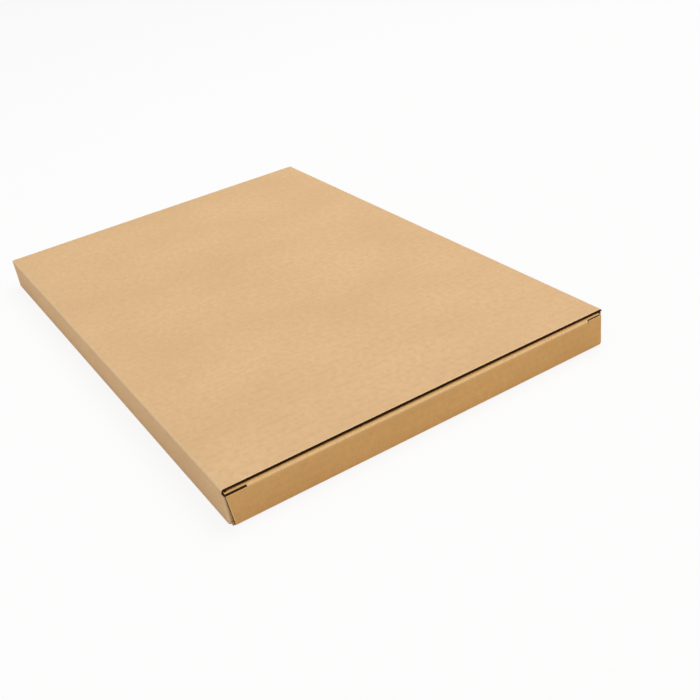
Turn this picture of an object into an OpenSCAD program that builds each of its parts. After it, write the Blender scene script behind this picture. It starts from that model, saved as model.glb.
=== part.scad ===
// Flat shipping carton for a framed picture, closed and lying on its largest face.
// One die-cut sheet of corrugated board is folded and glued into a sleeve. Each open end
// has two dust flaps, a closure panel hinged on the bottom panel, and a tuck flap that
// rolls over a soft fold and goes in under the raw edge of the top panel.
// X runs along the closures, Y from the front end to the rear end, Z up from the table.

/* [Box] */
// Width across the two long side faces
box_w = 330; // [220:1:480]
// Length from the front closure's face to the rear closure's face
box_l = 500; // [300:1:700]
// Height of the closed box
box_h = 30; // [25:0.5:50]

/* [Board] */
// Thickness of the corrugated board
board_t = 2.4; // [1.8:0.1:3]
// Inside radius of a creased fold
crease_r = 0.6; // [0.4:0.1:1]
// Radius of the pressed crease on which a closure panel turns
hinge_r = 1.5; // [1.5:0.1:2]
// Clearance between pieces that turn past each other
run_gap = 0.3; // [0.2:0.05:0.5]
// Flat board that each fold's section takes in from the panels it joins
fold_leg = 0.6; // [0.3:0.1:1]
// Thickness of a liner, where a raw edge stands open between the two
liner_t = 0.3; // [0.2:0.05:0.4]
// Depth to which a raw edge stands open
edge_d = 1.2; // [0.6:0.1:2]
// Thickness of the fluted sheet between the liners
medium_t = 0.25; // [0.2:0.05:0.4]
// Distance from one flute to the next
flute_pitch = 6.4; // [4:0.1:8]

/* [Closure panels] */
// Inset of the closure panel's side edges from the side faces
panel_inset = 1.4; // [1:0.1:3]
// How much further the left edge comes in at the crease
left_taper = 2.2; // [0:0.1:4]
// How much further the right edge comes in at the crease
right_taper = 0.4; // [0:0.1:4]
// Clipped corner at each end of the closure's crease
crease_clip = 0.8; // [0.4:0.1:2]

/* [Tuck flaps] */
// Gap between the top of the tuck fold and the underside of the top panel
tuck_gap = 0.4; // [0.35:0.05:0.8]
// Length of the flat part of the tuck flap
tuck_len = 15.5; // [12:0.5:18]
// Side clearance of the tuck flap inside the sleeve
tuck_side_gap = 1.6; // [1.2:0.1:4]
// Corner radius at the tuck flap's inner end
tuck_corner_r = 10; // [4:0.5:12]
// How deep the tuck fold is crushed on each face of the board
fold_crush = 0.15; // [0.05:0.05:0.25]

/* [Slit locks] */
// Length of each slit from the closure's side edge
slit_len = 15.6; // [10:0.2:30]
// Opening of the slit under the left shoulder
slit_gap = 0.4; // [0.2:0.05:0.6]
// Setback of the left shoulder's raw edge from the closure's face
shoulder_setback = 0.8; // [0.3:0.1:1.5]
// Height that the right ear stands above the start of the tuck fold
ear_rise = 2.6; // [1:0.1:2.8]
// Width of the short cut down beside the right ear
nick_w = 0.5; // [0.3:0.1:1]

/* [Dust flaps] */
// Length of a dust flap from the side face
dust_len = 62; // [40:1:100]
// Drop of a dust flap's top edge over its length
dust_drop = 3; // [0:0.5:4]
// Slant of a dust flap's free end
dust_slant = 8; // [0:1:20]
// Corner radius at a dust flap's free end
dust_corner_r = 4; // [2:0.5:5]
// Height of the slots that part a dust flap's fold from the long folds
dust_relief = 0.4; // [0.3:0.1:1]

/* [Glue joint] */
// Width of the glue tab under the right side panel
tab_w = 25; // [15:1:40]
// Slanted length at each end of the glue tab
tab_slant = 8; // [4:1:15]

/* [Hidden] */
$fn = 64;
kraft_lit = [0.87, 0.70, 0.50];
kraft_shaded = [0.76, 0.59, 0.38];
// Lets a cutter pass fully through the board
over = 1;

// Outside radius of a soft fold
fold_r = crease_r + board_t;
// Angle by which the crushed tuck fold runs on inside the flat board at its ends
fold_root = 6;
// Where the top panel's raw edge stands behind the closure's face
raw_y = fold_r;
// Underside of the top panel
under_z = box_h - board_t;
// Centre of the tuck fold, and the height at which the fold leaves the closure panel
fold_z = under_z - tuck_gap - fold_r;
// Faces of a level flap that leaves the tuck fold at its top
level_z0 = fold_z + crease_r;

// Ends of the closure panel, the tuck flap and the slits, from the left side face
panel_x0 = panel_inset;
panel_x1 = box_w - panel_inset;
tuck_x0 = board_t + tuck_side_gap;
tuck_x1 = box_w - tuck_x0;
slit_x0 = panel_inset + slit_len;
slit_x1 = box_w - slit_x0;
// Top of the clipped corners, of the left ear under the slit, and of the right ear
clip_z = hinge_r + crease_clip;
shoulder_z = level_z0 - slit_gap;
ear_z = fold_z + ear_rise;

// Swing of the closure about its crease: arms to the tuck fold's centre, and the largest
// radius that passes in front of the top panel's lower edge
arm_y = fold_r - hinge_r;
arm_z = fold_z - hinge_r;
swing_r = norm([raw_y - hinge_r, under_z - hinge_r]) - run_gap;
// Dip of the tuck flap below level, at which its inner end just swings out past that edge
dip_a = 2 * (fold_r * arm_y - tuck_len * arm_z);
dip_b = 2 * (fold_r * arm_z + tuck_len * arm_y);
dip_k = swing_r ^ 2 - arm_y ^ 2 - arm_z ^ 2 - fold_r ^ 2 - tuck_len ^ 2;
tuck_dip = atan2(dip_a, dip_b) + acos(dip_k / norm([dip_a, dip_b]));
// Closest that the tuck flap's underside comes to the crease as it swings
sweep_r = arm_y * sin(tuck_dip) + arm_z * cos(tuck_dip) + crease_r;

// Front face of the front dust flaps, and centre of the fold that turns them in
dust_y = board_t + run_gap;
dust_fold_y = dust_y + fold_r;
// Top of a dust flap's fold at the side panel
dust_root = box_h - fold_r - fold_leg - dust_relief;
// Top edge of a dust flap beside its fold, clear of the tuck flap's sweep
dust_top = hinge_r + sqrt(sweep_r ^ 2 - (dust_y + board_t - hinge_r) ^ 2) - 2 * run_gap;

// Extrudes a profile drawn in Y and Z along X
module along_x(x0, x1) {
    translate([x0, 0, 0]) rotate([90, 0, 90]) linear_extrude(x1 - x0) children();
}

// Extrudes a profile drawn in X and Z along Y
module along_y(y0, y1) {
    translate([0, y1, 0]) rotate([90, 0, 0]) linear_extrude(y1 - y0) children();
}

// Section of the bent board about its own centre, from angle a0 to a1, thinned by the
// depth c on both faces
module bend(a0, a1, c) {
    reach = 2 * fold_r;
    mid = (a0 + a1) / 2;
    intersection() {
        difference() {
            circle(fold_r - c);
            circle(crease_r + c);
        }
        polygon([
            [0, 0],
            reach * [cos(a0), sin(a0)],
            reach * [cos(mid), sin(mid)],
            reach * [cos(a1), sin(a1)],
        ]);
    }
}

// Section of a square fold that starts at angle a0, with a leg of flat board at each end
module fold(a0) {
    bend(a0, a0 + 90, 0);
    rotate(a0) translate([crease_r, -fold_leg]) square([board_t, fold_leg]);
    rotate(a0 + 90) translate([crease_r, 0]) square([board_t, fold_leg]);
}

// Section in Y and Z of the fluted sheet that stands in an upright panel up to height z1
module medium_section(z1) {
    steps = 12;
    count = ceil(z1 / flute_pitch * steps);
    middle = board_t / 2;
    swing = middle - liner_t;
    line = [for (i = [0:count]) [middle + swing * sin(360 * i / steps), z1 * i / count]];
    side = [medium_t / 2, 0];
    polygon(concat([for (p = line) p + side], [for (i = [count:-1:0]) line[i] - side]));
}

// Outline of the closure panel in X and Z, with a low left ear and a standing right ear
module panel_outline() {
    polygon([
        [panel_x0 + left_taper + crease_clip, hinge_r],
        [panel_x0 + left_taper, clip_z],
        [panel_x0, shoulder_z],
        [slit_x0, shoulder_z],
        [slit_x0, fold_z],
        [slit_x1 + nick_w, fold_z],
        [slit_x1 + nick_w, ear_z],
        [panel_x1, ear_z],
        [panel_x1 - right_taper, clip_z],
        [panel_x1 - right_taper - crease_clip, hinge_r],
    ]);
}

// Stretches in X and Z along the closure panel's raw edges, where it stands open between
// its liners: both side edges and the tops of both ears
module panel_edges() {
    ear_x0 = slit_x1 + nick_w;
    polygon([
        [panel_x0 + left_taper - over, clip_z],
        [panel_x0 + left_taper + edge_d, clip_z],
        [panel_x0 + edge_d, shoulder_z],
        [panel_x0 - over, shoulder_z],
    ]);
    polygon([
        [panel_x1 - right_taper + over, clip_z],
        [panel_x1 - right_taper - edge_d, clip_z],
        [panel_x1 - edge_d, ear_z],
        [panel_x1 + over, ear_z],
    ]);
    translate([-over, shoulder_z - edge_d]) square([slit_x0 + over, edge_d + over]);
    translate([ear_x0 - over, ear_z - edge_d]) square([box_w - ear_x0, edge_d + over]);
}

// Closure panel of one thickness of board, with the fluted sheet showing at its side edges
module closure_panel() {
    difference() {
        along_y(0, board_t) panel_outline();
        along_y(liner_t, board_t - liner_t) panel_edges();
    }
    intersection() {
        along_y(liner_t / 2, board_t - liner_t / 2) panel_outline();
        union() {
            along_x(0, panel_x0 + left_taper + 2 * edge_d) medium_section(shoulder_z - edge_d);
            along_x(panel_x1 - right_taper - 2 * edge_d, box_w) medium_section(ear_z - edge_d);
        }
    }
}

// Plan of the tuck flap and its fold, rounded at the flap's inner end
module tuck_outline() {
    w = tuck_x1 - tuck_x0;
    r = tuck_corner_r;
    back = 3 * fold_r;
    translate([tuck_x0, -back]) square([w, back + tuck_len - r]);
    translate([tuck_x0 + r, -back]) square([w - 2 * r, back + tuck_len]);
    for (x = [tuck_x0 + r, tuck_x1 - r]) translate([x, tuck_len - r]) circle(r);
}

// Plan of the left shoulder, which lies level over the slit with its raw edge in front
// and runs on into the tuck fold behind
module shoulder_outline() {
    lap_y = fold_r * (1 + sin(fold_root));
    polygon([
        [panel_x0, shoulder_setback],
        [slit_x0, shoulder_setback],
        [slit_x0, lap_y],
        [tuck_x0 + run_gap, lap_y],
        [tuck_x0 - run_gap, board_t],
        [panel_x0, board_t],
    ]);
}

// Left shoulder, open between its liners along the raw edge in front
module shoulder() {
    open_d = (board_t - shoulder_setback) / 2;
    difference() {
        linear_extrude(board_t) shoulder_outline();
        translate([-over, shoulder_setback - over, liner_t])
            cube([slit_x0 + 2 * over, over + open_d, board_t - 2 * liner_t]);
    }
}

// Section of the tuck flap with its fold, up to the fold's highest line
module tuck_section() {
    bend(90 - tuck_dip - fold_root, 90, fold_crush);
    rotate(-tuck_dip) translate([0, crease_r]) square([2 * tuck_len, board_t]);
}

// Tuck flap, whose fold runs on down to the closure panel between the slits
module tuck_flap() {
    intersection() {
        union() {
            along_x(0, box_w) tuck_section();
            along_x(slit_x0, slit_x1) bend(90 - fold_root, 180 + fold_root, fold_crush);
        }
        rotate([-tuck_dip, 0, 0]) translate([0, 0, -2 * fold_r])
            linear_extrude(4 * fold_r) tuck_outline();
    }
}

// One closure in the frame of the front left corner
module closure() {
    crease_x0 = panel_x0 + left_taper + crease_clip;
    crease_x1 = panel_x1 - right_taper - crease_clip;
    closure_panel();
    // Pressed crease that turns in the bottom panel's edge
    along_x(crease_x0, crease_x1) translate([hinge_r, hinge_r]) circle(hinge_r);
    translate([0, 0, level_z0]) shoulder();
    translate([0, fold_r, fold_z]) tuck_flap();
}

// Outline of a left dust flap in X and Z, above its lower edge at z0
module dust_outline(z0) {
    r = dust_corner_r;
    end_z = dust_top - dust_drop;
    polygon([
        [0, z0],
        [0, dust_root],
        [tuck_x0 - run_gap, dust_top],
        [dust_len - r, end_z],
        [dust_len - r, end_z - r],
        [dust_len, end_z - r],
        [dust_len - dust_slant, z0],
    ]);
    translate([dust_len - r, end_z - r]) circle(r);
}

// Dust flap turned in from the left side panel at the front end, with its rounded fold
module dust_flap(z0) {
    intersection() {
        translate([0, 0, z0]) linear_extrude(dust_root - z0) {
            translate([fold_r, dust_fold_y]) fold(180);
            translate([fold_r, dust_y]) square([dust_len - fold_r, board_t]);
        }
        along_y(0, box_l) dust_outline(z0);
    }
}

// A side panel between the long folds, from height z0, standing on the left face
module side_panel(z0) {
    flap_z0 = z0 + fold_leg + dust_relief;
    translate([0, dust_fold_y, z0]) cube([board_t, box_l - 2 * dust_fold_y, box_h - fold_r - z0]);
    dust_flap(flap_z0);
    translate([0, box_l, 0]) mirror([0, 1, 0]) dust_flap(flap_z0);
}

// Plan of the glue tab, slanted at both ends
module tab_outline() {
    tab_x = box_w - tab_w;
    root_x = box_w - fold_r - fold_leg;
    polygon([
        [box_w - fold_r, dust_fold_y],
        [root_x, dust_fold_y],
        [tab_x, dust_fold_y + tab_slant],
        [tab_x, box_l - dust_fold_y - tab_slant],
        [root_x, box_l - dust_fold_y],
        [box_w - fold_r, box_l - dust_fold_y],
    ]);
}

// Top panel with the two long folds at its sides
module top_section() {
    translate([fold_r, under_z]) square([box_w - 2 * fold_r, board_t]);
    translate([fold_r, box_h - fold_r]) fold(90);
    translate([box_w - fold_r, box_h - fold_r]) fold(0);
}

// The space between the liners of the top panel and of its folds
module top_core_section() {
    translate([fold_r, under_z + liner_t]) square([box_w - 2 * fold_r, board_t - 2 * liner_t]);
    translate([fold_r, box_h - fold_r]) bend(90, 180, liner_t);
    translate([box_w - fold_r, box_h - fold_r]) bend(0, 90, liner_t);
}

// Top panel whose raw edges stand open between their liners at both ends
module top_panel() {
    difference() {
        along_y(raw_y, box_l - raw_y) top_section();
        along_y(raw_y - over, raw_y + edge_d) top_core_section();
        along_y(box_l - raw_y - edge_d, box_l - raw_y + over) top_core_section();
    }
}

// Bottom panel with its raw edge at the right, and the long fold at its left side, which
// stops short of the closures. Both are hollowed at the ends where the creases turn
module bottom_panel() {
    socket_r = hinge_r + run_gap;
    difference() {
        union() {
            along_y(hinge_r, box_l - hinge_r)
                translate([fold_r, 0]) square([box_w - fold_r, board_t]);
            along_y(dust_y, box_l - dust_y) translate([fold_r, fold_r]) fold(180);
        }
        for (y = [hinge_r, box_l - hinge_r])
            along_x(-over, box_w + over) translate([y, hinge_r]) circle(socket_r);
    }
}

// The whole wrap of the sheet, in the frame of the front left corner
module wrap() {
    top_panel();
    side_panel(fold_r);
    translate([box_w, 0, 0]) mirror([1, 0, 0]) side_panel(board_t + fold_r);
    bottom_panel();
    // Fold, and the glue tab as one block with the bottom panel that it is glued to
    along_y(dust_fold_y, box_l - dust_fold_y)
        translate([box_w - fold_r, board_t + fold_r]) fold(270);
    linear_extrude(2 * board_t) tab_outline();
}

module sleeve() {
    color(kraft_lit) translate([-box_w / 2, -box_l / 2, 0]) wrap();
}

module front_closure() {
    color(kraft_shaded) translate([-box_w / 2, -box_l / 2, 0]) closure();
}

module rear_closure() {
    color(kraft_shaded) rotate([0, 0, 180]) translate([-box_w / 2, -box_l / 2, 0]) closure();
}

sleeve();
front_closure();
rear_closure();
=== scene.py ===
# Shipping carton for a framed picture, closed and lying on its largest face. One die-cut
# sheet of brown corrugated board is creased, folded and glued into a flat sleeve, whose
# two ends are shut by closure panels with rolled tuck flaps and slit locks.
# Sizes of the board are in millimetres from the front left corner of the closed box.

import math

import bmesh
import bpy
from mathutils import Matrix, Vector, noise


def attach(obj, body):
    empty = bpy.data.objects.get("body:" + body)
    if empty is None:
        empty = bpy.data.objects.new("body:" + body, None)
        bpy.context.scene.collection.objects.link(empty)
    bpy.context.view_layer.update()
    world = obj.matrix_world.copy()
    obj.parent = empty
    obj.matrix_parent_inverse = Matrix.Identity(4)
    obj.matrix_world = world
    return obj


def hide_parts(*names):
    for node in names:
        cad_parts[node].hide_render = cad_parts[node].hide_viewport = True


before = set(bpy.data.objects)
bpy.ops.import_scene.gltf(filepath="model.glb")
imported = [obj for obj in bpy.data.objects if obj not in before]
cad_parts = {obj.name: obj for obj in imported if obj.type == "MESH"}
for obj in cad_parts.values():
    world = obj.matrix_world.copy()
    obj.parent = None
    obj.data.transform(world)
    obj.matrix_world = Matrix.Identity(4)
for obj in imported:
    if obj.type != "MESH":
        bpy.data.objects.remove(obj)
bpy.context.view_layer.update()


# The board that the whole box is cut from: two brown kraft liners, glued to a fluted
# paper between them. It is shaped here as a folded outer face, which is then given the
# board's thickness, with raw edges that stand open between the liners.

BOX_W = 330.0
BOX_L = 500.0
BOX_H = 30.0
BOARD_T = 2.4
LINER_T = 0.3
HINGE_R = 1.5
# Fluted paper: wave length, depth that stands open across it, points to a wave, play
# between the liners, the paper's thickness, and how far a strip reaches on into the board
FLUTE_PITCH = 488.6 / 76
FLUTE_DEPTH = 3.0
FLUTE_POINTS = 12
FLUTE_SLACK = 0.2
FLUTE_PAPER_T = 0.25
FLUTE_ROOT = 0.3
SHEET_MAP = "sheet"
# Closer than this counts as lying on a line
TOUCH = 0.01
# How far each inner line of a raw edge stands back from the outer liner's edge: under the
# outer liner, twice at the fluted paper, over the inner liner, and at the inner face
EDGE_ALONG_FLUTES = (0, 0.5, 1.3, 0, 0)
EDGE_ACROSS_FLUTES = (0, FLUTE_DEPTH, FLUTE_DEPTH, 0, 0)
EDGE_ROUNDED = (0, 0.6, 1.1, 0, 0)
EDGE_SHALLOW = (0, 0.4, 0.4, 0, 0)
EDGE_PRESSED = (0.02, 0.03, 0.03, 0.02, 0)
EDGE_BEHIND_CREASE = (0, 1.1, 1.6, 1.45, 1.4)
EDGE_CLOSED = (0, 0, 0, 0, 0)
# Painted shade on those lines, darkest deep in the open edge, and how many strips of paper lie between
# the board's two faces
EDGE_SHADE = (0.6, 1.0, 1.0, 1.0, 1.0)
STRIPS = 5
# Material slots of a board, and those of the strips along an open and a closed raw edge
OUTER, INNER, CUT = 0, 1, 2
OPEN_STRIPS = (OUTER, CUT, CUT, CUT, CUT)
CLOSED_STRIPS = (OUTER, OUTER, OUTER, OUTER, INNER)
# Two raw edges this nearly in line get the mean of their profiles, and ones that meet
# more squarely than the second figure keep a sharp corner
IN_LINE = 0.05
SQUARE = 0.9
# How sharply creased the bead counts that goes with a board
BEAD_CREASE = 0.5


class FoldedSheet:
    """Outer face of board folded from one flat sheet. Each point has its place in the
    box, its place in the flat sheet, how sharply it is creased, and the board's thickness,
    which is less where a crease crushes it."""

    def __init__(self):
        self.places, self.flats, self.creases, self.thick, self.faces = [], [], [], [], []
        self.known = {}

    @staticmethod
    def key(place):
        return tuple(round(c * 1000) for c in place)

    def point(self, place, flat, crease, thick=BOARD_T):
        key = self.key(place)
        if key not in self.known:
            self.known[key] = len(self.places)
            self.places.append(Vector(place))
            self.flats.append(flat)
            self.creases.append(crease)
            self.thick.append(thick)
        return self.known[key]

    def patch(self, rows, keep=lambda i, j: True):
        """Faces between rows of points. Where two corners coincide it is a triangle."""
        for i in range(len(rows) - 1):
            for j in range(len(rows[i]) - 1):
                if keep(i, j):
                    corners = rows[i][j], rows[i + 1][j], rows[i + 1][j + 1], rows[i][j + 1]
                    face = list(dict.fromkeys(self.point(*corner) for corner in corners))
                    if len(face) > 2:
                        self.faces.append(face)


def set_back(sides, line):
    """Where a raw edge's inner line stands at a point, square to the edges that meet there."""
    (a, depths_a), (b, depths_b) = sides[0], sides[-1]
    dot = a.dot(b)
    spread = 1 - dot * dot
    if spread < IN_LINE:
        return (a + b).normalized() * (depths_a[line] + depths_b[line]) / 2
    along_a = (depths_a[line] - depths_b[line] * dot) / spread
    along_b = (depths_b[line] - depths_a[line] * dot) / spread
    return a * along_a + b * along_b


def board_mesh(name, sheet, cut, ripple, settle, turned, bead=((), (), (), ())):
    """Board of full thickness behind a folded outer face. cut says how a raw edge stands
    open, ripple how deep the flutes show in the liner, and settle where the board sags.
    bead is a closed form that goes with the board."""
    bm = bmesh.new()
    for place in sheet.places:
        bm.verts.new(place)
    bm.verts.ensure_lookup_table()
    bm.verts.index_update()
    for corners in sheet.faces:
        bm.faces.new([bm.verts[k] for k in corners])
    bm.normal_update()
    count = len(bm.verts)
    outer = [v.co - v.normal * ripple(v.co, sheet.creases[v.index]) for v in bm.verts]
    inner = [v.co - v.normal * sheet.thick[v.index] for v in bm.verts]
    rims, strips = {}, []
    for edge in bm.edges:
        if len(edge.link_faces) == 1:
            loop = edge.link_loops[0]
            a, b = loop.vert, loop.link_loop_next.vert
            inward = loop.face.normal.cross(b.co - a.co).normalized()
            side = (inward, cut((a.co + b.co) / 2, inward))
            rims.setdefault(a.index, []).append(side)
            rims.setdefault(b.index, []).append(side)
            papers = CLOSED_STRIPS if side[1] == EDGE_CLOSED else OPEN_STRIPS
            strips.append((a.index, b.index, papers))
    places = outer + inner
    origin = list(range(count)) * 2
    # Painted shade of each point, which is none except on a raw edge's inner lines
    deep = [0.0] * (2 * count)
    lines = {}
    for k, sides in rims.items():
        v, thick = bm.verts[k], sheet.thick[k]
        lines[k] = [k]
        for line, down in enumerate((LINER_T, LINER_T, thick - LINER_T, thick - LINER_T)):
            lines[k].append(len(places))
            places.append(v.co - v.normal * down + set_back(sides, line))
            origin.append(k)
            deep.append(EDGE_SHADE[line])
        places[count + k] = v.co - v.normal * thick + set_back(sides, 4)
        deep[count + k] = EDGE_SHADE[4]
        lines[k].append(count + k)
    corners = {k for k, sides in rims.items() if abs(sides[0][0].dot(sides[-1][0])) < SQUARE}
    bm.free()

    faces = list(sheet.faces) + [[count + k for k in reversed(c)] for c in sheet.faces]
    paper = [OUTER] * len(sheet.faces) + [INNER] * len(sheet.faces)
    sharp = set()
    for a, b, papers in strips:
        for line in range(STRIPS):
            faces.append([lines[b][line], lines[a][line], lines[a][line + 1], lines[b][line + 1]])
            paper.append(papers[line])
        sharp |= {frozenset((lines[a][line], lines[b][line])) for line in range(STRIPS + 1)}
    for k in corners:
        sharp |= {frozenset(lines[k][line:line + 2]) for line in range(STRIPS)}

    start = len(places)
    places = [settle(p) for p in places] + list(bead[0])
    flats = [sheet.flats[k] for k in origin] + list(bead[1])
    faces += [[start + k for k in face] for face in bead[2]]
    paper += list(bead[3])

    mesh = bpy.data.meshes.new(name)
    mesh.from_pydata([to_frame(p, turned) for p in places], [], faces)
    mesh.polygons.foreach_set("material_index", paper)
    mesh.polygons.foreach_set("use_smooth", [True] * len(faces))
    edge_mark = mesh.attributes.new("sharp_edge", "BOOLEAN", "EDGE")
    edge_mark.data.foreach_set("value", [frozenset(e.vertices) in sharp for e in mesh.edges])
    crease = mesh.attributes.new("crease", "FLOAT", "POINT")
    creases = [sheet.creases[k] for k in origin] + [BEAD_CREASE] * len(bead[0])
    crease.data.foreach_set("value", creases)
    depth = mesh.attributes.new("deep", "FLOAT", "POINT")
    depth.data.foreach_set("value", deep + [0.0] * len(bead[0]))
    flat = mesh.uv_layers.new(name=SHEET_MAP)
    for loop in mesh.loops:
        u, v = flats[loop.vertex_index]
        flat.data[loop.index].uv = (u / 1000, v / 1000)
    mesh.update()
    return mesh


def to_frame(place, turned):
    """From the front left corner, or the rear right one when turned, to the shared frame."""
    x, y = place[0] - BOX_W / 2, place[1] - BOX_L / 2
    if turned:
        x, y = -x, -y
    return (x / 1000, y / 1000, place[2] / 1000)


def flute_tree(paper):
    """Geometry nodes for a fluted paper's wavy end along a straight raw edge."""
    tree = bpy.data.node_groups.new("fluted_paper", "GeometryNodeTree")
    tree.interface.new_socket("Geometry", in_out="INPUT", socket_type="NodeSocketGeometry")
    for label in ("Edge length", "Flute pitch", "Wave height", "Paper thickness", "Depth"):
        tree.interface.new_socket(label, in_out="INPUT", socket_type="NodeSocketFloat")
    tree.interface.new_socket("Geometry", in_out="OUTPUT", socket_type="NodeSocketGeometry")
    node, link = tree.nodes.new, tree.links.new
    given, result = node("NodeGroupInput"), node("NodeGroupOutput")

    def sum_of(operation, *terms):
        made = node("ShaderNodeMath")
        made.operation = operation
        for socket, term in zip(made.inputs, terms):
            if isinstance(term, (int, float)):
                socket.default_value = term
            else:
                link(term, socket)
        return made.outputs[0]

    length, pitch = given.outputs["Edge length"], given.outputs["Flute pitch"]
    points = sum_of("CEIL", sum_of("DIVIDE", sum_of("MULTIPLY", length, FLUTE_POINTS), pitch))
    line = node("GeometryNodeMeshLine")
    line.mode = "END_POINTS"
    link(sum_of("ADD", points, 1), line.inputs["Count"])
    end = node("ShaderNodeCombineXYZ")
    link(length, end.inputs["X"])
    link(end.outputs[0], line.inputs["Offset"])
    split = node("ShaderNodeSeparateXYZ")
    link(node("GeometryNodeInputPosition").outputs[0], split.inputs[0])
    turns = sum_of("MULTIPLY", sum_of("DIVIDE", split.outputs["X"], pitch), math.tau)
    swing = sum_of("DIVIDE", given.outputs["Wave height"], 2)
    rise = node("ShaderNodeCombineXYZ")
    link(sum_of("MULTIPLY", sum_of("SINE", turns), swing), rise.inputs["Z"])
    wave = node("GeometryNodeSetPosition")
    link(line.outputs["Mesh"], wave.inputs["Geometry"])
    link(rise.outputs[0], wave.inputs["Offset"])
    into = node("ShaderNodeCombineXYZ")
    link(given.outputs["Depth"], into.inputs["Y"])
    ribbon = node("GeometryNodeExtrudeMesh")
    ribbon.mode = "EDGES"
    link(wave.outputs[0], ribbon.inputs["Mesh"])
    link(into.outputs[0], ribbon.inputs["Offset"])
    slab = node("GeometryNodeExtrudeMesh")
    slab.mode = "FACES"
    slab.inputs["Individual"].default_value = False
    link(ribbon.outputs["Mesh"], slab.inputs["Mesh"])
    link(given.outputs["Paper thickness"], slab.inputs["Offset Scale"])
    back = node("GeometryNodeFlipFaces")
    link(ribbon.outputs["Mesh"], back.inputs["Mesh"])
    both = node("GeometryNodeJoinGeometry")
    link(slab.outputs["Mesh"], both.inputs[0])
    link(back.outputs[0], both.inputs[0])
    welded = node("GeometryNodeMergeByDistance")
    welded.inputs["Distance"].default_value = 0.001
    link(both.outputs[0], welded.inputs["Geometry"])
    real = node("GeometryNodeRealizeInstances")
    link(welded.outputs[0], real.inputs[0])
    finish = node("GeometryNodeSetMaterial")
    finish.inputs["Material"].default_value = paper
    link(real.outputs[0], finish.inputs["Geometry"])
    link(finish.outputs[0], result.inputs[0])
    return tree


def fluted_edges(name, tree, edges, settle, turned):
    """Wavy paper ends for raw edges given as start, end, way into the board, way through
    the board, and the depth that stands open."""
    keys = {i.name: i.identifier for i in tree.interface.items_tree if i.in_out == "INPUT"}
    joined = bmesh.new()
    for start, end, inward, through, depth in edges:
        run = Vector(end) - Vector(start)
        former = bpy.data.objects.new("former", bpy.data.meshes.new("former"))
        bpy.context.collection.objects.link(former)
        flutes = former.modifiers.new("flutes", "NODES")
        flutes.node_group = tree
        flutes[keys["Edge length"]] = run.length
        flutes[keys["Flute pitch"]] = FLUTE_PITCH
        flutes[keys["Wave height"]] = BOARD_T - 2 * LINER_T - FLUTE_SLACK
        flutes[keys["Paper thickness"]] = FLUTE_PAPER_T
        flutes[keys["Depth"]] = depth + FLUTE_ROOT
        seen = former.evaluated_get(bpy.context.evaluated_depsgraph_get())
        mesh = bpy.data.meshes.new_from_object(seen)
        axes = [run.normalized(), Vector(inward), Vector(through)]
        spin = Matrix([[axis[k] for axis in axes] for k in range(3)])
        if spin.determinant() < 0:
            mesh.flip_normals()
        middle = Vector(start) + Vector(through) * BOARD_T / 2
        for v in mesh.vertices:
            v.co = to_frame(settle(spin @ v.co + middle), turned)
        joined.from_mesh(mesh)
        bpy.data.objects.remove(former)
        bpy.data.meshes.remove(mesh)
    mesh = bpy.data.meshes.new(name)
    joined.to_mesh(mesh)
    joined.free()
    mesh.materials.append(fluted_paper)
    return bpy.data.objects.new(name, mesh)


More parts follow.
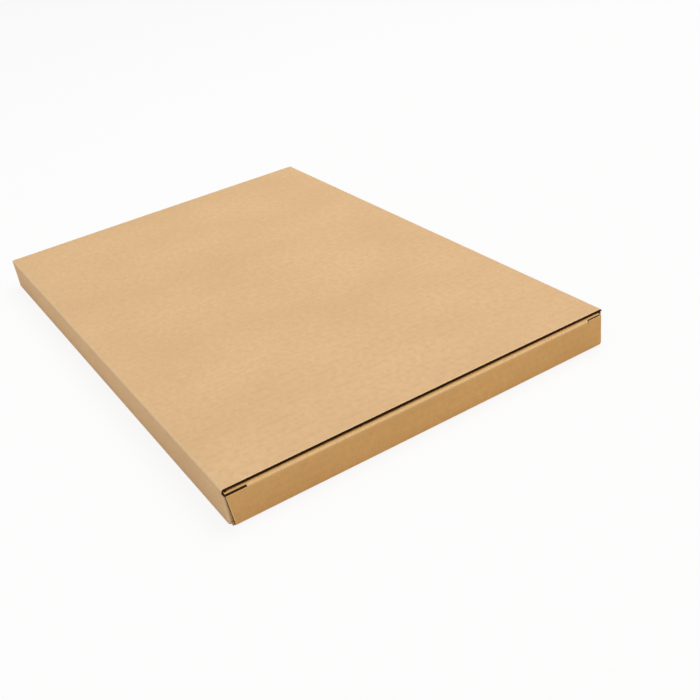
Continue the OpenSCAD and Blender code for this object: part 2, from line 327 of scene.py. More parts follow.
def kraft_paper(name, pale, deep, fleck, worn_and_highlit, shift):
    """Outer or inner liner: kraft paper with clouds, long fibres along the sheet and the flutes'
    faint painted shadow, paler at creases and cut edges: partly rubbed, partly a painted highlight."""
    material = bpy.data.materials.new(name)
    material.use_nodes = True
    tree = material.node_tree
    node, link = tree.nodes.new, tree.links.new
    shader = tree.nodes["Principled BSDF"]
    shader.inputs["Roughness"].default_value = 0.78
    shader.inputs["Specular IOR Level"].default_value = 0.25
    sheet_map = node("ShaderNodeUVMap")
    sheet_map.uv_map = SHEET_MAP

    def texture(scale, turn, detail, low, high):
        """Noise of that many waves per millimetre along and across, spread to 0..1."""
        place = node("ShaderNodeMapping")
        place.inputs["Location"].default_value = (shift, shift, shift)
        place.inputs["Rotation"].default_value[2] = turn
        place.inputs["Scale"].default_value = (1000 * scale[0], 1000 * scale[1], 1)
        link(sheet_map.outputs[0], place.inputs["Vector"])
        cloud = node("ShaderNodeTexNoise")
        cloud.inputs["Scale"].default_value = 1.0
        cloud.inputs["Detail"].default_value = detail
        link(place.outputs[0], cloud.inputs["Vector"])
        span = node("ShaderNodeMapRange")
        span.inputs["From Min"].default_value = low
        span.inputs["From Max"].default_value = high
        link(cloud.outputs["Fac"], span.inputs["Value"])
        return span.outputs[0]

    def times(value, factor):
        made = node("ShaderNodeMath")
        made.operation = "MULTIPLY"
        link(value, made.inputs[0])
        if isinstance(factor, float):
            made.inputs[1].default_value = factor
        else:
            link(factor, made.inputs[1])
        return made.outputs[0]

    def tinted(under, tone, factor):
        """A mix of colours: they are inputs 6 and 7, and the result is output 2."""
        made = node("ShaderNodeMix")
        made.data_type = "RGBA"
        link(factor, made.inputs["Factor"])
        if isinstance(under, tuple):
            made.inputs[6].default_value = (*under, 1)
        else:
            link(under, made.inputs[6])
        made.inputs[7].default_value = (*tone, 1)
        return made.outputs[2]

    clouds = times(texture((0.012, 0.016), 0.3, 3.0, 0.3, 0.7), 0.5)
    floc = texture((0.22, 0.16), 0.0, 4.0, 0.35, 0.65)
    fibres = texture((2.4, 0.42), 0.06, 3.0, 0.52, 0.74)
    cross = texture((0.5, 1.9), 0.5, 3.0, 0.55, 0.75)
    specks = texture((1.3, 0.8), 1.1, 2.0, 0.66, 0.74)
    colour = tinted(pale, deep, clouds)
    colour = tinted(colour, deep, times(floc, 0.42))
    colour = tinted(colour, fleck, times(fibres, 0.2))
    colour = tinted(colour, worn_and_highlit, times(cross, 0.28))
    colour = tinted(colour, fleck, times(specks, 0.3))

    split = node("ShaderNodeSeparateXYZ")
    link(sheet_map.outputs[0], split.inputs[0])
    wave = node("ShaderNodeMath")
    wave.operation = "SINE"
    link(times(split.outputs["Y"], 1000 * math.tau / FLUTE_PITCH), wave.inputs[0])
    stripe = node("ShaderNodeMapRange")
    stripe.inputs["From Min"].default_value = -1.0
    stripe.inputs["To Max"].default_value = 0.07
    link(wave.outputs[0], stripe.inputs["Value"])
    colour = tinted(colour, fleck, times(stripe.outputs[0], floc))

    # Creases, cut edges and the rolled fold grow paler: partly rubbed paper, partly a painted highlight
    # where they turn to the light
    crease = node("ShaderNodeAttribute")
    crease.attribute_name = "crease"
    rubbed_and_highlit = texture((0.9, 0.2), 0.0, 3.0, 0.1, 0.6)
    colour = tinted(colour, worn_and_highlit, times(times(crease.outputs["Fac"], 0.55), rubbed_and_highlit))
    link(colour, shader.inputs["Base Color"])

    relief = node("ShaderNodeMath")
    relief.operation = "ADD"
    link(times(fibres, 0.5), relief.inputs[0])
    link(times(floc, 0.6), relief.inputs[1])
    bump = node("ShaderNodeBump")
    bump.inputs["Strength"].default_value = 0.35
    bump.inputs["Distance"].default_value = 0.00006
    link(relief.outputs[0], bump.inputs["Height"])
    link(bump.outputs[0], shader.inputs["Normal"])
    return material


def bare_board(name, lit, dark):
    """Cut edge between the liners: rough brown fluting paper, with painted shade that darkens it in the
    open flutes.
    """
    material = bpy.data.materials.new(name)
    material.use_nodes = True
    tree = material.node_tree
    node, link = tree.nodes.new, tree.links.new
    shader = tree.nodes["Principled BSDF"]
    shader.inputs["Roughness"].default_value = 0.95
    shader.inputs["Specular IOR Level"].default_value = 0.1
    where = node("ShaderNodeTexCoord")
    grain = node("ShaderNodeTexNoise")
    grain.inputs["Scale"].default_value = 900.0
    grain.inputs["Detail"].default_value = 4.0
    link(where.outputs["Object"], grain.inputs["Vector"])
    # How deep in an open raw edge a point lies, which sets its painted shade
    depth = node("ShaderNodeAttribute")
    depth.attribute_name = "deep"
    frayed = node("ShaderNodeMath")
    frayed.operation = "MULTIPLY_ADD"
    link(grain.outputs["Fac"], frayed.inputs[0])
    frayed.inputs[1].default_value = 0.5
    frayed.inputs[2].default_value = -0.25
    shade = node("ShaderNodeMath")
    shade.operation = "ADD"
    shade.use_clamp = True
    link(depth.outputs["Fac"], shade.inputs[0])
    link(frayed.outputs[0], shade.inputs[1])
    tone = node("ShaderNodeMix")
    tone.data_type = "RGBA"
    tone.inputs[6].default_value = (*lit, 1)
    tone.inputs[7].default_value = (*dark, 1)
    link(shade.outputs[0], tone.inputs["Factor"])
    link(tone.outputs[2], shader.inputs["Base Color"])
    bump = node("ShaderNodeBump")
    bump.inputs["Strength"].default_value = 0.6
    bump.inputs["Distance"].default_value = 0.0001
    link(grain.outputs["Fac"], bump.inputs["Height"])
    link(bump.outputs[0], shader.inputs["Normal"])
    return material


sleeve_kraft = kraft_paper(
    "sleeve_kraft", (0.745, 0.495, 0.262), (0.640, 0.408, 0.205), (0.36, 0.20, 0.085),
    (0.86, 0.65, 0.41), 3.0)
inner_kraft = kraft_paper(
    "inner_kraft", (0.60, 0.41, 0.235), (0.50, 0.33, 0.18), (0.30, 0.18, 0.085),
    (0.72, 0.54, 0.35), 11.0)
# Raw edges: a darkened brown, partly their own colour and partly painted shade in the cut, with more
# painted shade deep in the flutes
cut_board = bare_board("cut_board", (0.14, 0.075, 0.028), (0.085, 0.043, 0.014))
fluted_paper = bare_board("fluted_paper", (0.13, 0.07, 0.028), (0.05, 0.025, 0.009))
fluting = flute_tree(fluted_paper)


# Sleeve: top, left side, bottom and right side panels folded round in one, closed by a
# glue tab on the inside of the bottom panel. Two dust flaps turn in from the side panels
# at each end, and the bottom panel's ends carry the creases of the two closures.

# Raw edges of the top panel, the folds along the sides, and the board's thickness in them
RAW_Y = 3.0
LONG_R = 2.0
CRUSHED_T = 1.7
# Dust flaps: face, fold, length, slanted and rounded free end, heights of the top edge at
# the side panel, beyond the fold and at the free end, and rise of the lower edge
DUST_Y = BOARD_T + 0.3
DUST_FOLD_Y = DUST_Y + LONG_R
DUST_LEN = 62.0
DUST_SLANT = 8.0
DUST_CORNER_R = 4.0
DUST_TOP = (26.9, 22.73, 19.73)
DUST_RISE = 1.2
# Width in which the top edge comes down where a flap's corner stays full height
FULL_CORNER = 3.8
# Flat board beside the long folds at the ends
LEG = 0.6
TAB_W = 25.0
TAB_SLANT = 8.0
TAB_Z = BOARD_T + LONG_R
# Ends of the front closure's crease, and the gap beyond them
HINGE_X = (3.9, BOX_W - 4.7)
HINGE_PLAY = 0.3
# Parts of a quarter fold, of a dust flap's length, and of the sleeve's length
FOLD_PARTS = 8
DUST_PARTS = 16
LENGTH_PARTS = 304
# Paleness along the top panel's raw ends, partly rubbed and partly a painted highlight on the liner's
# lit edge
RUBBED_AND_HIGHLIT_EDGE = 1.5
# How far the top panel's sides lie low, its dents, and the hollows in the side panels
SAG = 0.3
DENT = 0.16
HOLLOW = 0.22


def steps(first, last, count):
    """Evenly spaced values from first to last, both included."""
    return [first + (last - first) * k / count for k in range(count + 1)]


def wrap_path():
    """Points in X and Z round the wrap from the bottom panel's raw edge to the glue tab,
    each with its part of the wrap and how sharply it is creased."""
    def arc(part, x, z, a0, a1):
        for k in range(FOLD_PARTS + 1):
            a = math.radians(a0 + (a1 - a0) * k / FOLD_PARTS)
            crease = math.sin(math.pi * k / FOLD_PARTS)
            yield part, x + LONG_R * math.cos(a), z + LONG_R * math.sin(a), crease

    high = [DUST_TOP[0], BOX_H - LONG_R - LEG, BOX_H - LONG_R]
    left = [LONG_R, LONG_R + LEG, *steps(6, 22, 4), *high]
    right = [*high[::-1], *steps(22, 10, 3), TAB_Z + LEG, TAB_Z]
    hinge_ends = [HINGE_X[0] - HINGE_PLAY, HINGE_X[0], HINGE_X[1], HINGE_X[1] + HINGE_PLAY]
    across = steps(LONG_R, BOX_W, 16) + hinge_ends + [BOX_W - x for x in hinge_ends]
    path = [("bottom", x, 0, 0) for x in sorted(across, reverse=True)]
    path += arc("bottom_fold", LONG_R, LONG_R, 270, 180)
    path += [("left", 0, z, 0) for z in left]
    path += arc("top_fold", LONG_R, BOX_H - LONG_R, 180, 90)
    path += [("top", x, BOX_H, 0) for x in steps(LONG_R, BOX_W - LONG_R, 24)]
    path += arc("top_fold", BOX_W - LONG_R, BOX_H - LONG_R, 90, 0)
    path += [("right", BOX_W, z, 0) for z in right]
    path += arc("tab_fold", BOX_W - LONG_R, TAB_Z, 0, -90)
    path += [("tab", x, BOARD_T, 0) for x in steps(BOX_W - LONG_R, BOX_W - TAB_W, 4)]
    return path


def dust_flap(sheet, low_fold, heights, side_x, way, lengthwise):
    """A dust flap on the side panel at side_x, turned in at the front end, or at the rear
    end when lengthwise is -1. way is 1 where it runs to the right. Its fold runs down into
    the fold along the panel's foot, whose points are low_fold, as a rounded corner."""
    low, high = min(heights), max(heights)
    beside_ear = (way == 1) != (lengthwise == 1)
    quarter = LONG_R * math.pi / 2
    free_end = [(DUST_LEN - DUST_SLANT, low + DUST_RISE), (DUST_LEN, DUST_TOP[2] - DUST_CORNER_R)]
    for k in range(1, 7):
        a = math.radians(15 * k)
        free_end.append((DUST_LEN - DUST_CORNER_R + DUST_CORNER_R * math.cos(a),
                         DUST_TOP[2] - DUST_CORNER_R + DUST_CORNER_R * math.sin(a)))
    run = [0.0]
    for a, b in zip(free_end, free_end[1:]):
        run.append(run[-1] + math.dist(a, b))

    def turned_in(x, y, z, flat_x, flat_y, crease, thick):
        """The point as it lies at the left side panel's front end, set at this flap's end."""
        return ((side_x + way * x, y if lengthwise == 1 else BOX_L - y, z),
                (side_x + way * flat_x, flat_y if lengthwise == 1 else BOX_L - flat_y),
                crease, thick)

    def fold_row(radius, z, root_z):
        row = []
        for i in range(FOLD_PARTS + 1):
            a = math.radians(90 * i / FOLD_PARTS)
            x, y = LONG_R - radius * math.cos(a), DUST_FOLD_Y - radius * math.sin(a)
            up = z + (root_z - z) * i / FOLD_PARTS
            row.append(turned_in(x, y, up, z, DUST_FOLD_Y - LONG_R * a, math.sin(2 * a), CRUSHED_T))
        return row

    corner = [fold_row(LONG_R - x, z, z) for x, z in low_fold] + [fold_row(LONG_R, low, low)]
    rows = []
    for z in heights:
        t = (z - low) / (high - low)
        # Row's end on the slanted and rounded free end
        k = max(i for i in range(len(run) - 1) if run[i] <= t * run[-1] + 1e-9)
        share = (t * run[-1] - run[k]) / (run[k + 1] - run[k])
        end_x = free_end[k][0] + share * (free_end[k + 1][0] - free_end[k][0])
        end_z = free_end[k][1] + share * (free_end[k + 1][1] - free_end[k][1])
        root_z = low + t * (DUST_TOP[1] - low)
        # The corner beside the closure's upright ear stays full height
        root_x = FULL_CORNER if beside_ear else LONG_R
        row = fold_row(LONG_R, z, z if beside_ear else root_z)
        if beside_ear:
            row.append(turned_in(root_x, DUST_Y, root_z, z, DUST_FOLD_Y - quarter - root_x, 0, BOARD_T))
        for share in steps(0, 1, DUST_PARTS)[1:]:
            x = root_x + share * (end_x - root_x)
            up = root_z + share * (end_z - root_z)
            row.append(turned_in(x, DUST_Y, up, z, DUST_FOLD_Y - quarter - x, 0, BOARD_T))
        rows.append(row)
    for grid in (corner, rows):
        sheet.patch(grid if beside_ear else [row[::-1] for row in grid])


def fold_sleeve():
    """The sleeve's outer face, as rows along the box for each point round the wrap."""
    sheet = FoldedSheet()
    path = wrap_path()
    around = [0.0]
    for a, b in zip(path, path[1:]):
        around.append(around[-1] + math.hypot(b[1] - a[1], b[2] - a[2]))
    end = [HINGE_R, RAW_Y, (RAW_Y + DUST_FOLD_Y) / 2]
    lengths = end + steps(DUST_FOLD_Y, BOX_L - DUST_FOLD_Y, LENGTH_PARTS)
    lengths += [BOX_L - y for y in end[::-1]]
    rows = []
    for (part, x, z, crease), u in zip(path, around):
        row = []
        for y in lengths:
            squeeze = (BOX_W - LONG_R - x) / (TAB_W - LONG_R) * TAB_SLANT if part == "tab" else 0
            along = y + squeeze * (1 - 2 * y / BOX_L)
            raw = part == "top" and min(y, BOX_L - y) < RAW_Y + TOUCH
            row.append(((x, along, z), (u, along), RUBBED_AND_HIGHLIT_EDGE if raw else crease,
                        CRUSHED_T if part.endswith("fold") else BOARD_T))
        rows.append(row)

    def keep(i, j):
        part, z = path[i + 1][0], (path[i][2] + path[i + 1][2]) / 2
        near = min(lengths[j], BOX_L - lengths[j + 1]) + TOUCH
        if part == "bottom":
            # A small notch lies beyond the closure's crease at the glue joint's side
            x = (path[i][1] + path[i + 1][1]) / 2
            crease_end = HINGE_X[1] if j < len(lengths) / 2 else BOX_W - HINGE_X[0]
            return near > DUST_FOLD_Y or x < crease_end + HINGE_PLAY
        if part in ("top_fold", "top") or z > BOX_H - LONG_R - LEG:
            return near > RAW_Y
        return near > DUST_FOLD_Y

    sheet.patch(rows, keep)
    foot = [(x, z) for part, x, z, crease in path if part == "bottom_fold"]
    tab_foot = [(BOX_W - x, z) for part, x, z, crease in path if part == "tab_fold"][::-1]
    left = [z for part, x, z, crease in path if part == "left"][1:-2]
    right = [z for part, x, z, crease in path if part == "right"][2:-1][::-1]
    for lengthwise in (1, -1):
        dust_flap(sheet, foot, left, 0, 1, lengthwise)
        dust_flap(sheet, tab_foot, right, BOX_W, -1, lengthwise)
    return sheet


def sleeve_cut(place, inward):
    """How the sleeve's raw edge stands open at a place, by the way into the board there."""
    x, y, z = place
    near = min(y, BOX_L - y)
    at = x if y < BOX_L / 2 else BOX_W - x
    hinged = HINGE_X[0] - HINGE_PLAY < at < HINGE_X[1] + HINGE_PLAY
    # Bottom panel's ends, behind the closure's crease and beside it
    if z < TOUCH and near < HINGE_R + TOUCH and hinged:
        return EDGE_BEHIND_CREASE
    if z < TOUCH and near < DUST_FOLD_Y + TOUCH:
        return EDGE_CLOSED
    # Dust flaps beyond their folds
    if abs(near - DUST_Y) < TOUCH and 3 * LONG_R < x < BOX_W - 3 * LONG_R:
        return EDGE_ACROSS_FLUTES if abs(inward.z) > 0.7 else EDGE_ALONG_FLUTES
    # Ends of the top panel and of the glue tab
    if abs(inward.y) > 0.7:
        return EDGE_ALONG_FLUTES if abs(near - RAW_Y) < TOUCH and z > BOX_H / 2 else EDGE_SHALLOW
    # Edges along the box of the bottom panel and the glue tab
    long_edge = z < BOARD_T + TOUCH and near > DUST_FOLD_Y - TOUCH
    return EDGE_ACROSS_FLUTES if long_edge else EDGE_SHALLOW


def sleeve_ripple(place, crease):
    """The flutes' faint waves, which show most in the side panels and the folds."""
    wave = 0.5 - 0.5 * math.cos(math.tau * (place.y - DUST_FOLD_Y) / FLUTE_PITCH)
    side = 0.05 if min(place.x, BOX_W - place.x) < TOUCH else 0.015
    return wave * (side + 0.05 * crease)


def sleeve_settle(place):
    """The top panel lies a little higher in the middle, and the long panels aren't dead flat."""
    x, y, z = place
    lift = min(1.0, max(0.0, (z - 8) / 18)) ** 2
    across = abs(2 * x / BOX_W - 1)
    dent = 0.5 + 0.5 * noise.noise(Vector((x / 85, y / 110, 3.1)))
    drop = lift * (SAG * across ** 3 + DENT * dent)
    hollow = HOLLOW * (0.5 + 0.5 * noise.noise(Vector((y / 60, z / 30, 7.7))))
    hollow *= math.sin(math.pi * min(1.0, max(0.0, z / BOX_H)))
    side = max(0.0, across - 0.95) / 0.05
    return Vector((x + math.copysign(hollow * side, BOX_W / 2 - x), y, z - drop))


sleeve_board = bpy.data.objects.new("sleeve_board", board_mesh(
    "sleeve_board", fold_sleeve(), sleeve_cut, sleeve_ripple, sleeve_settle, False))
for paper in (sleeve_kraft, inner_kraft, cut_board):
    sleeve_board.data.materials.append(paper)

# Wavy paper for the raw edges along the box, and for the dust flaps' lower and top edges,
# each a little shorter than its edge
sleeve_edges = [
    ((BOX_W, 5, 0), (BOX_W, BOX_L - 5, 0), (-1, 0, 0), (0, 0, 1), FLUTE_DEPTH),
    ((BOX_W - TAB_W, 15, BOARD_T), (BOX_W - TAB_W, BOX_L - 15, BOARD_T), (1, 0, 0), (0, 0, 1),
     FLUTE_DEPTH),
]
for y, through in ((DUST_Y, (0, 1, 0)), (BOX_L - DUST_Y, (0, -1, 0))):
    for side_x, way, low in ((0, 1, LONG_R + LEG), (BOX_W, -1, TAB_Z + LEG)):
        top_run = Vector((way * (DUST_LEN - DUST_CORNER_R - LONG_R), 0, DUST_TOP[2] - DUST_TOP[1]))
        slope = Vector((top_run.z, 0, -top_run.x)).normalized() * way
        sleeve_edges += [
            ((side_x + way * 7, y, low + 0.1 * DUST_RISE),
             (side_x + way * (DUST_LEN - DUST_SLANT - 2), y, low + 0.96 * DUST_RISE),
             (0, 0, 1), through, FLUTE_DEPTH),
            ((side_x + way * 7, y, DUST_TOP[1] - 0.22),
             (side_x + way * (DUST_LEN - DUST_CORNER_R - 2), y, DUST_TOP[2] + 0.11),
             slope, through, FLUTE_DEPTH),
        ]
sleeve_flutes = fluted_edges("sleeve_flutes", fluting, sleeve_edges, sleeve_settle, False)

for piece in (sleeve_board, sleeve_flutes):
    bpy.context.collection.objects.link(piece)
    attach(piece, "box")
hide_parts("sleeve")


# Closures: at each end a panel turns up on the bottom panel's crease, rolls over a soft
# fold and goes in under the top panel as a tuck flap. A slit from each side frees the fold:
# a level shoulder lies over the left one, and an ear of the panel stands up at the right.

# Side edges of the panel: how they slant in to the crease, the clipped corners there, and
# the width and amount of their paleness, partly rubbed and partly a painted highlight
LEFT_TAPER = 2.2
RIGHT_TAPER = 0.4
CREASE_CLIP = (0.3, 0.9)
PANEL_X = (HINGE_X[0] - LEFT_TAPER - CREASE_CLIP[0], HINGE_X[1] + RIGHT_TAPER + CREASE_CLIP[1])
RUBBED_AND_HIGHLIT_RIM = 0.8
RUBBED_AND_HIGHLIT_CUT = 1.2
# Rolled fold: radius, start on the face, height, and how much squarer than round it is
FOLD_R = 3.0
FOLD_Z = 24.2
ROLL_R = FOLD_R - 0.1
ROLL_SQUARE = 2.8
ROLL_T = 1.9
# Paleness round the rolled fold from the face to its top, partly rubbed and partly a painted highlight
# near where it leaves the face
RUBBED_AND_HIGHLIT_ROLL = (0, 0.5, 1.3, 1.7, 1.3, 0.5, 0.2, 0.1, 0.1)
# Ears beside the slits, and the right one's thin top
LOW_EAR_Z = 25.2
EAR_Z = 26.2
THIN_Z = 25.1
EAR_T = 0.7
SLIT_X = (17.0, BOX_W - 17.0)
NICK_W = 0.5
TUCK_X = (4.0, BOX_W - 4.0)
TUCK_LEN = 15.5
TUCK_CORNER_R = 10.0
TUCK_DIP = 22.65
# Raw edges and thicknesses of the crushed shoulders, left and right
SHOULDER_Y = (0.8, 1.0)
SHOULDER_T = (1.4, 0.8)
# Parts of the crease's length and round it
BEAD_PARTS = 60
BEAD_SIDES = 24


def panel_sides(z):
    """Left and right side edges of the closure panel at height z, slanted in to the crease."""
    ends = []
    for side, taper, top in ((0, LEFT_TAPER, LOW_EAR_Z), (1, -RIGHT_TAPER, EAR_Z)):
        clip = max(0.0, HINGE_R + CREASE_CLIP[side] - z)
        low = min(1.0, max(0.0, (top - z) / (top - HINGE_R)))
        ends.append(PANEL_X[side] + taper * low + (1 - 2 * side) * clip)
    return ends


def roll_point(angle):
    """Place in Y and Z on the rolled fold's outside, from 0 on the face to 90 on top. The
    fold is a little squarer than round."""
    a = math.radians(angle)
    y = FOLD_R - FOLD_R * math.cos(a) ** (2 / ROLL_SQUARE)
    return y, FOLD_Z + ROLL_R * math.sin(a) ** (2 / ROLL_SQUARE)


def fold_closure():
    """The closure's outer face: panel, ears, rolled fold, shoulders and tuck flap."""
    sheet = FoldedSheet()
    middle = steps(SLIT_X[0], SLIT_X[1], 74)

    def columns(z):
        left, right = panel_sides(z)
        row = [left] + steps(left + RUBBED_AND_HIGHLIT_RIM, SLIT_X[0], 4)[:-1] + middle
        return row + steps(SLIT_X[1] + NICK_W, right - RUBBED_AND_HIGHLIT_RIM, 4) + [right]

    # Face of the panel up to the slits
    heights = [HINGE_R, HINGE_R + CREASE_CLIP[0], HINGE_R + CREASE_CLIP[1]] + steps(3.6, FOLD_Z, 13)
    face = []
    grid = [columns(z) for z in heights]
    for k in range(len(grid[0])):
        rubbed_and_highlit = RUBBED_AND_HIGHLIT_CUT if k in (0, len(grid[0]) - 1) else 0
        face.append([((grid[j][k], 0, z), (grid[j][k], z), rubbed_and_highlit) for j, z in enumerate(heights)])
    sheet.patch(face)
    # Low ear under the left slit, and the ear that stands up thin at the right
    for first, tops in ((0, [FOLD_Z, 24.7, LOW_EAR_Z]), (len(middle) + 5, [FOLD_Z, 25.0, 25.7, EAR_Z])):
        ear = []
        for k in range(first, first + 6):
            ear.append([((columns(z)[k], 0, z), (columns(z)[k], z),
                         RUBBED_AND_HIGHLIT_CUT if z == tops[-1] else 0,
                         EAR_T if first and z > THIN_Z else BOARD_T) for z in tops])
        sheet.patch(ear)
    # Rolled fold between the slits, paler where it leaves the face: partly rubbed, partly a painted
    # highlight
    rolled = []
    for x in middle:
        row = []
        for k, rubbed_and_highlit in enumerate(RUBBED_AND_HIGHLIT_ROLL):
            y, z = roll_point(90 * k / FOLD_PARTS)
            row.append(((x, y, z), (x, FOLD_Z + FOLD_R * math.radians(90 * k / FOLD_PARTS)), rubbed_and_highlit,
                        ROLL_T if 0 < k < FOLD_PARTS else BOARD_T))
        rolled.append(row)
    sheet.patch(rolled)
    # Crushed shoulders that lie level in front of the tuck flap's ends
    top_z = FOLD_Z + ROLL_R
    crown = FOLD_Z + FOLD_R * math.pi / 2
    left = [PANEL_X[0]] + steps(TUCK_X[0], SLIT_X[0], 3)
    right = steps(SLIT_X[1], TUCK_X[1], 3)
    for xs, raw_y, thick in zip((left, right), SHOULDER_Y, SHOULDER_T):
        shoulder = []
        for x in xs:
            shoulder.append([((x, y, top_z), (x, crown + y - FOLD_R), 0.1,
                              BOARD_T if y > BOARD_T else thick)
                             for y in (raw_y, 1.6, BOARD_T, FOLD_R)])
        # The left one is wider than the tuck flap behind it
        sheet.patch(shoulder, lambda i, j: i > 0 or j < 2 or xs is right)
    # Tuck flap, which dips into the box behind the fold
    backs = [(math.radians(90 - TUCK_DIP * k / 4), 0) for k in range(5)]
    turn = math.radians(90 - TUCK_DIP)
    straight = [0, 1.5, 3.5, TUCK_LEN - TUCK_CORNER_R]
    curved = [TUCK_LEN - TUCK_CORNER_R * (1 - math.sin(math.radians(11.25 * k))) for k in range(1, 9)]
    backs += [(turn, d) for d in straight[1:] + curved]
    tuck = []
    xs = steps(TUCK_X[0], SLIT_X[0], 3)[:-1] + middle + steps(SLIT_X[1], TUCK_X[1], 3)[1:]
    for x in xs:
        row = []
        for angle, d in backs:
            y = FOLD_R + FOLD_R * math.cos(angle) + d * math.cos(turn - math.pi / 2)
            z = FOLD_Z + ROLL_R * math.sin(angle) + d * math.sin(turn - math.pi / 2)
            over = max(0.0, d - (TUCK_LEN - TUCK_CORNER_R))
            inset = TUCK_CORNER_R - math.sqrt(max(0.0, TUCK_CORNER_R ** 2 - over ** 2))
            at = x
            if x < SLIT_X[0]:
                at = SLIT_X[0] - (SLIT_X[0] - x) * (1 - inset / (SLIT_X[0] - TUCK_X[0]))
            if x > SLIT_X[1]:
                at = SLIT_X[1] + (x - SLIT_X[1]) * (1 - inset / (TUCK_X[1] - SLIT_X[1]))
            flat = crown + FOLD_R * (math.pi / 2 - angle) + d
            row.append(((at, y, z), (at, flat), 0.1 if d else 0.4))
        tuck.append(row)
    sheet.patch(tuck)
    return sheet


def closure_cut(place, inward):
    """How the closure's raw edge stands open at a place, by the way into the board there."""
    x, y, z = place
    if z < HINGE_R + TOUCH:
        return EDGE_PRESSED
    # Side edges below the slits, which are shallow just above the crease
    if y < TOUCH and HINGE_R + 2 < z < FOLD_Z and min(x, BOX_W - x) < 6 and abs(inward.x) > 0.9:
        return EDGE_ACROSS_FLUTES
    # Tops of the ears
    if abs(inward.z) > 0.9 and z < EAR_Z + 0.1:
        return EDGE_ALONG_FLUTES if x < SLIT_X[0] else EDGE_SHALLOW
    # Tuck flap
    if y > 6:
        return EDGE_ACROSS_FLUTES if abs(inward.x) > 0.95 else EDGE_ROUNDED
    return EDGE_SHALLOW


def closure_ripple(place, crease):
    """The flutes' faint waves in the panel's face."""
    wave = 0.5 - 0.5 * math.cos(math.tau * place.z / FLUTE_PITCH)
    return 0.02 * wave if place.y < TOUCH and place.z < FOLD_Z - 1 else 0.0


def closure_settle(place):
    """The rolled fold isn't dead straight, and the panel is a little hollow between its ends."""
    x, y, z = place
    up = max(0.0, z - HINGE_R) / (FOLD_Z - HINGE_R)
    wander = 0.5 + 0.5 * noise.noise(Vector((x / 45, 2.2, 5.5)))
    hollow = 0.5 + 0.5 * noise.noise(Vector((x / 80, 9.1, 1.3)))
    bow = 0.18 * math.sin(math.pi * min(1.0, up)) * hollow
    slack = 0.10 * wander * min(1.0, up)
    return Vector((x, y + bow + slack, z - slack))


def crease_bead():
    """The pressed crease as a round bead along the panel's lower edge: its points, their
    places in the flat sheet, its faces and the paper of each."""
    ends = panel_sides(HINGE_R)
    places, flats, faces = [], [], []
    turn = math.tau / BEAD_SIDES
    for x in steps(ends[0], ends[1], BEAD_PARTS):
        for k in range(BEAD_SIDES):
            y, z = -HINGE_R * math.cos(turn * k), -HINGE_R * math.sin(turn * k)
            places.append(Vector((x, HINGE_R + y, HINGE_R + z)))
            flats.append((x, HINGE_R - HINGE_R * turn * k))
    for i in range(BEAD_PARTS):
        for k in range(BEAD_SIDES):
            a, b = BEAD_SIDES * i + k, BEAD_SIDES * i + (k + 1) % BEAD_SIDES
            faces.append([a, b, b + BEAD_SIDES, a + BEAD_SIDES])
    last = BEAD_SIDES * BEAD_PARTS
    faces += [list(range(BEAD_SIDES - 1, -1, -1)), list(range(last, last + BEAD_SIDES))]
    papers = [OUTER] * len(faces)
    return places, flats, faces, papers


# The closures' outer liner is the sleeve's kraft painted deeper and warmer: painted shade for their end
# faces, which take less and warmer light
shaded_closure_kraft = kraft_paper(
    "shaded_closure_kraft", (0.775, 0.445, 0.162), (0.665, 0.366, 0.127), (0.35, 0.18, 0.06),
    (0.92, 0.66, 0.36), 27.0)
closure_sheet = fold_closure()
# Wavy paper for the panel's side edges, from above the crease to below the slit
closure_edges = []
for side, way in ((0, 1), (1, -1)):
    low, top = 2.6, (LOW_EAR_Z, FOLD_Z)[side] - 1.4
    closure_edges.append((
        (panel_sides(low)[side], 0, low), (panel_sides(top)[side], 0, top), (way, 0, 0),
        (0, 1, 0), FLUTE_DEPTH))
for end, body, turned in (("front", "front_flap", False), ("rear", "rear_flap", True)):
    closure_board = bpy.data.objects.new(f"{end}_closure_board", board_mesh(
        f"{end}_closure_board", closure_sheet, closure_cut, closure_ripple, closure_settle, turned,
        crease_bead()))
    for paper in (shaded_closure_kraft, inner_kraft, cut_board):
        closure_board.data.materials.append(paper)
    closure_flutes = fluted_edges(
        f"{end}_closure_flutes", fluting, closure_edges, closure_settle, turned)
    for piece in (closure_board, closure_flutes):
        bpy.context.collection.objects.link(piece)
        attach(piece, body)
    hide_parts(f"{end}_closure")


# Studio: a plain white floor under a white sky, a wide soft light overhead and to the
# right, a weaker one from the left, and a low warm one in front.

FLOOR_SIZE = 6.0
FLOOR_Z = -0.0004
# Share of plain white that the camera sees in the floor, which keeps the shadow faint
FLOOR_WHITE = 0.88
SKY_STRENGTH = 0.48
floor_mesh = bpy.data.meshes.new("floor")
half = FLOOR_SIZE / 2
floor_mesh.from_pydata(
    [(x, y, FLOOR_Z) for x, y in ((-half, -half), (half, -half), (half, half), (-half, half))],
    [], [(0, 1, 2, 3)])
floor = bpy.data.objects.new("floor", floor_mesh)
bpy.context.collection.objects.link(floor)
floor_paint = bpy.data.materials.new("floor_white")
floor_paint.use_nodes = True
tree = floor_paint.node_tree
shader = tree.nodes["Principled BSDF"]
shader.inputs["Base Color"].default_value = (0.80, 0.80, 0.80, 1)
shader.inputs["Roughness"].default_value = 0.9
glow = tree.nodes.new("ShaderNodeEmission")
glow.inputs["Color"].default_value = (1, 1, 1, 1)
glow.inputs["Strength"].default_value = 1.0
rays = tree.nodes.new("ShaderNodeLightPath")
share = tree.nodes.new("ShaderNodeMath")
share.operation = "MULTIPLY"
share.inputs[1].default_value = FLOOR_WHITE
tree.links.new(rays.outputs["Is Camera Ray"], share.inputs[0])
blend = tree.nodes.new("ShaderNodeMixShader")
tree.links.new(share.outputs[0], blend.inputs[0])
tree.links.new(shader.outputs[0], blend.inputs[1])
tree.links.new(glow.outputs[0], blend.inputs[2])
tree.links.new(blend.outputs[0], tree.nodes["Material Output"].inputs["Surface"])
floor_mesh.materials.append(floor_paint)

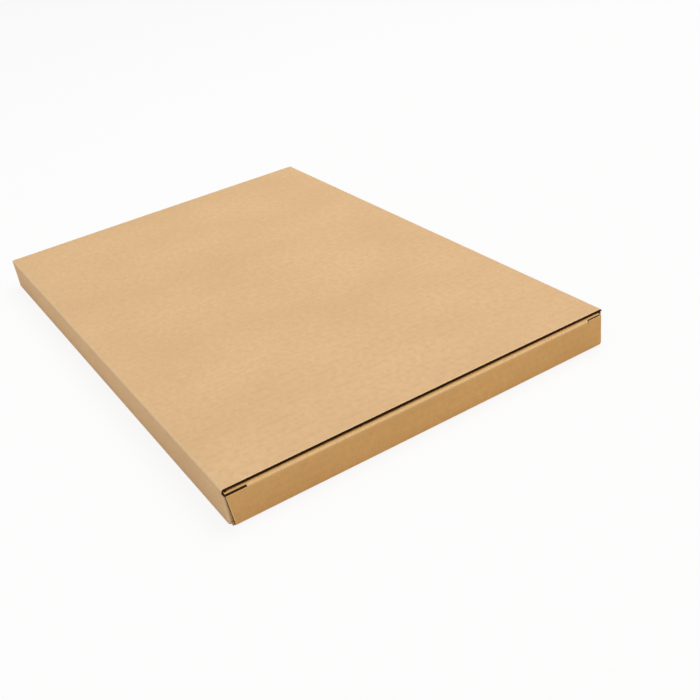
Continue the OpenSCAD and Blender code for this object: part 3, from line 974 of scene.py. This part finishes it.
world = bpy.context.scene.world or bpy.data.worlds.new("studio")
bpy.context.scene.world = world
world.use_nodes = True
tree = world.node_tree
soft_sky = tree.nodes["Background"]
soft_sky.inputs["Color"].default_value = (1, 1, 1, 1)
soft_sky.inputs["Strength"].default_value = SKY_STRENGTH
white = tree.nodes.new("ShaderNodeBackground")
white.inputs["Color"].default_value = (1, 1, 1, 1)
white.inputs["Strength"].default_value = 1.0
rays = tree.nodes.new("ShaderNodeLightPath")
blend = tree.nodes.new("ShaderNodeMixShader")
tree.links.new(rays.outputs["Is Camera Ray"], blend.inputs[0])
tree.links.new(soft_sky.outputs[0], blend.inputs[1])
tree.links.new(white.outputs[0], blend.inputs[2])
tree.links.new(blend.outputs[0], tree.nodes["World Output"].inputs["Surface"])


def soft_light(name, size, power, colour, place, aim):
    """A round lamp at a place, turned to what it aims at."""
    lamp = bpy.data.lights.new(name, "AREA")
    lamp.shape = "DISK"
    lamp.size = size
    lamp.energy = power
    lamp.color = colour
    light = bpy.data.objects.new(name, lamp)
    light.location = place
    light.rotation_euler = (Vector(aim) - Vector(place)).to_track_quat("-Z", "Y").to_euler()
    bpy.context.collection.objects.link(light)


soft_light("overhead", 1.6, 29.6, (1.0, 0.99, 0.97), (0.8, 0.1, 2.1), (0, 0, 0))
soft_light("left", 1.0, 4.8, (1.0, 0.98, 0.96), (-1.6, 0.1, 0.8), (0, 0, 0))
soft_light("front", 1.0, 2.4, (1.0, 0.78, 0.50), (0.3, -1.8, 0.5), (0, -0.25, 0))

# Camera as fitted to the box's corners in the photo
camera_data = bpy.data.cameras.new("camera")
camera_data.sensor_width = 36
camera_data.lens = 50.83
camera_data.clip_start = 0.01
camera = bpy.data.objects.new("camera", camera_data)
CAMERA_AT = Vector((-0.3173, -0.7391, 0.4090))
AHEAD = Vector((0.40452, 0.76569, -0.50008)).normalized()
UPRIGHT = Vector((0.3678, 0.36444, 0.85552)).normalized()
ASIDE = AHEAD.cross(UPRIGHT).normalized()
camera.matrix_world = Matrix((
    (ASIDE.x, UPRIGHT.x, -AHEAD.x, CAMERA_AT.x),
    (ASIDE.y, UPRIGHT.y, -AHEAD.y, CAMERA_AT.y),
    (ASIDE.z, UPRIGHT.z, -AHEAD.z, CAMERA_AT.z),
    (0, 0, 0, 1),
))
bpy.context.collection.objects.link(camera)
bpy.context.scene.camera = camera
bpy.context.scene.view_settings.view_transform = "Standard"
